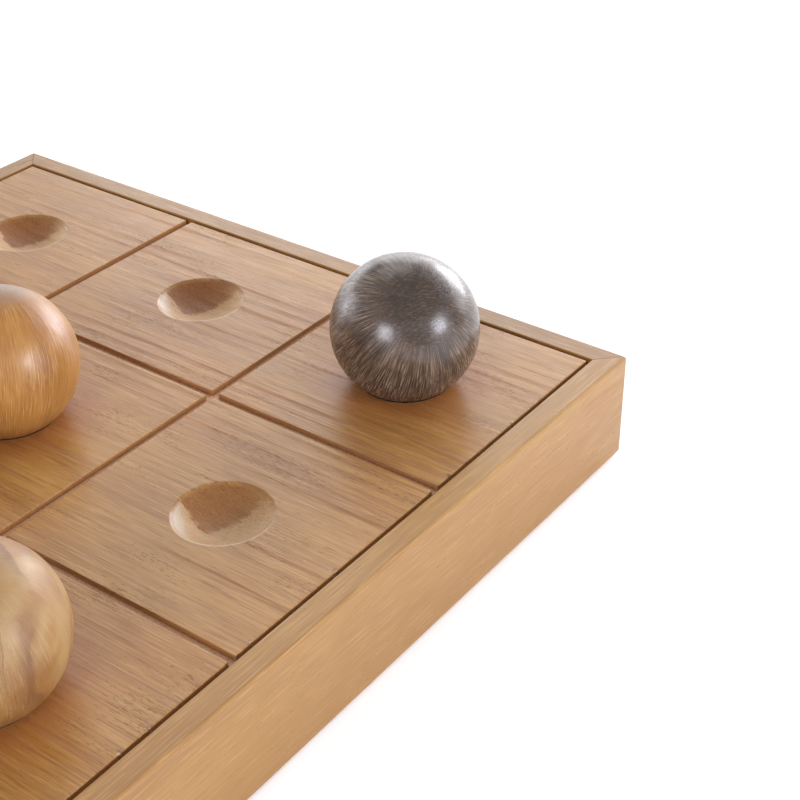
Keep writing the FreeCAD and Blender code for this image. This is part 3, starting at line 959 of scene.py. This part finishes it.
# From one rail or ball to the next, its wood's pith and rings move by this much
RAIL_SHIFT = {"pith": 0.013, "phase": 0.17}
BALL_SHIFT = {"pith": 0.004, "phase": 0.16}


def shifted(look, number, shift):
    """A look whose growth rings lie elsewhere, so that no two pieces have the same figure."""
    pith = (look["pith"][0] + shift["pith"] * number, look["pith"][1])
    return dict(look, pith=pith, phase=shift["phase"] * number)


panel = playing_panel(panel_wood("panel_wood", BOARD_LOOK))
finished(panel, BOARD, "panel_wood", "playing_panel")

for turn, name in enumerate(RAILS):
    look = shifted(RAIL_LOOK, turn, RAIL_SHIFT)
    # Painted shade: a darker copy of the rail wood for the back and left rails
    if name in SHADED_RAILS:
        look.update(SHADED_RAIL_WOOD)
    material = rail_wood(name + "_wood", QUARTER * turn, look)
    finished(rail(name, turn, material), BOARD, "frame_wood", name)

# Each ball's fibre direction and look
BALL_WOODS = {
    "grey_ball_back_right": ((0.542, -0.416, 0.730), GREY_LOOK),
    "grey_ball_front_middle": ((-0.6, 0.3, 0.5), GREY_LOOK),
    "grey_ball_front_left": ((0.2, 0.8, 0.4), GREY_LOOK),
    "natural_ball_centre": ((-0.15, 0.2, 0.95), NATURAL_LOOK),
    "natural_ball_front_right": ((0.15, -0.10, 0.97), MOTTLED_LOOK),
    "natural_ball_centre_left": ((0.9, 0.1, 0.3), NATURAL_LOOK),
}
for number, (name, (direction, look)) in enumerate(BALL_WOODS.items()):
    look = shifted(look, number, BALL_SHIFT)
    material = ball_wood(name + "_wood", name, direction, look)
    slot = "grey_stained_wood" if name in GREY_BALLS else "natural_ball_wood"
    finished(ball(name, material), name, slot, name)

felt = pad_felt()
for name in PADS:
    finished(pad(name, felt), BOARD, "pad_felt", name)


def repaint(name, material):
    """Gives a carried-over CAD node a new material."""
    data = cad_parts[name].data
    data.materials.clear()
    data.materials.append(material)


inner_x = wood("inner_wood_x", (0, 0, 0), (0, 0, 0), INNER_LOOK)
inner_y = wood("inner_wood_y", (0, 0, 0), (0, 0, QUARTER), INNER_LOOK)
for name in ("cleat_back", "cleat_front"):
    repaint(name, inner_x)
for name in ("cleat_left", "cleat_right", "batten_left", "batten_right"):
    repaint(name, inner_y)
for name in ("block_back_right", "block_back_left", "block_front_left", "block_front_right"):
    repaint(name, inner_x)
repaint("base_panel", wood("base_plywood", (0, 0, 0), (0, 0, 0), PLY_LOOK))
steel = screw_steel()
for name in ("panel_screws", "batten_screws", "base_screws"):
    repaint(name, steel)


# ---------------------------------------------------------------------------------------------
# Floor, light and camera
# ---------------------------------------------------------------------------------------------
FLOOR_REACH = 4.0
FLOOR_GLOW = 0.20
SURROUNDINGS_GLOW = 0.53
LIGHT_DISTANCE = 2.2
DAYLIGHT = (0.96, 0.97, 1.08)
WALL_LIGHT = (0.99, 0.995, 1.03)

# The camera's angles in degrees: round from the board's front to its right, up from the
# horizontal and about its own axis. Its place is in board sides from the middle of the top.
CAMERA_AZIMUTH, CAMERA_ELEVATION, CAMERA_ROLL = 36.39, 33.12, 0.545
CAMERA_PLACE = (1.21523, -0.91876, 0.96413)
CAMERA_LENS, CAMERA_SENSOR = 70.96, 36.0


def stage_floor():
    """Large plain pale floor."""
    n = Nodes("pale_floor")
    place = n.place()
    cloud = n.noise(place, (3, 3, 3), detail=2.0)
    pale = n.mix(cloud, rgb(0.92, 0.92, 0.92), rgb(0.95, 0.95, 0.95))
    n.put(n.shader.inputs["Base Color"], pale)
    n.shader.inputs["Emission Color"].default_value = rgb(1, 1, 1)
    n.shader.inputs["Emission Strength"].default_value = FLOOR_GLOW
    n.shader.inputs["Roughness"].default_value = 0.9
    shell = Shell()
    corners = ((-1, -1), (1, -1), (1, 1), (-1, 1))
    shell.face(shell.row([(x * FLOOR_REACH, y * FLOOR_REACH, 0) for x, y in corners]))
    floor = shell.piece("floor", n.material)


def compass(azimuth, elevation):
    """Direction from the board, in degrees clockwise from the back and above the horizontal."""
    a, e = math.radians(azimuth), math.radians(elevation)
    return Vector((math.sin(a) * math.cos(e), math.cos(a) * math.cos(e), math.sin(e)))


# Each soft light: azimuth, elevation, width and height as seen from the board in degrees, radiance
SOFTBOXES = {
    "back_left_wall": (-35, 18, 25, 32, 2.4),
    "back_wall_low": (-12, 10, 21, 16, 3.8),
    "back_window": (2, 12, 22, 22, 11.2),
    "back_wall_high": (-6, 27, 35, 18, 1.7),
    "back_right_wall": (25, 12, 25, 20, 3.5),
    "back_left_high": (-45, 50, 32, 24, 1.5),
    "left_wall": (-78, 10, 56, 18, 2.5),
    "left_window": (-108, 10, 34, 32, 2.2),
    "right_wall": (80, 18, 36, 30, 1.45),
    "right_window": (83, 18.5, 17, 15, 17.5),
    "right_front_wall": (120, 28, 30, 18, 0.5),
    "front_wall": (160, 18, 36, 30, 0.55),
    "front_window": (173, 19, 21, 19, 11.3),
}


def softbox(name, azimuth, elevation, width, height, radiance):
    """Rectangular soft light facing the board from LIGHT_DISTANCE away."""
    data = bpy.data.lights.new(name, "AREA")
    data.shape = "RECTANGLE"
    data.size = 2 * LIGHT_DISTANCE * math.tan(math.radians(width / 2))
    data.size_y = 2 * LIGHT_DISTANCE * math.tan(math.radians(height / 2))
    data.energy = radiance * math.pi * data.size * data.size_y
    data.color = DAYLIGHT if "window" in name else WALL_LIGHT
    light = bpy.data.objects.new(name, data)
    bpy.context.scene.collection.objects.link(light)
    towards = compass(azimuth, elevation)
    light.location = Vector((0, 0, BOARD_TOP)) + towards * LIGHT_DISTANCE
    light.rotation_euler = towards.to_track_quat("Z", "Y").to_euler()


def studio_world():
    """Plain pale surroundings."""
    world = bpy.data.worlds.new("studio")
    bpy.context.scene.world = world
    world.use_nodes = True
    background = world.node_tree.nodes["Background"]
    background.inputs["Color"].default_value = rgb(1, 1, 1)
    background.inputs["Strength"].default_value = SURROUNDINGS_GLOW


def camera():
    """Camera that looks down on the board from its front right."""
    azimuth, elevation = math.radians(CAMERA_AZIMUTH), math.radians(CAMERA_ELEVATION)
    data = bpy.data.cameras.new("camera")
    data.lens = CAMERA_LENS
    data.sensor_width = CAMERA_SENSOR
    data.clip_start = 0.01
    cam = bpy.data.objects.new("camera", data)
    bpy.context.scene.collection.objects.link(cam)
    forward = Vector((-math.sin(azimuth) * math.cos(elevation),
                      math.cos(azimuth) * math.cos(elevation), -math.sin(elevation)))
    right = forward.cross(Vector((0, 0, 1))).normalized()
    down = forward.cross(right)
    c, s = math.cos(math.radians(CAMERA_ROLL)), math.sin(math.radians(CAMERA_ROLL))
    image_right = right * c + down * s
    image_up = right * s - down * c
    turn = Matrix((image_right, image_up, -forward)).transposed()
    place = Vector(CAMERA_PLACE) * BOARD_SIDE + Vector((0, 0, BOARD_TOP))
    cam.matrix_world = Matrix.Translation(place) @ turn.to_4x4()
    bpy.context.scene.camera = cam


stage_floor()
studio_world()
for name, setting in SOFTBOXES.items():
    softbox(name, *setting)
camera()
bpy.context.scene.view_settings.view_transform = "Standard"
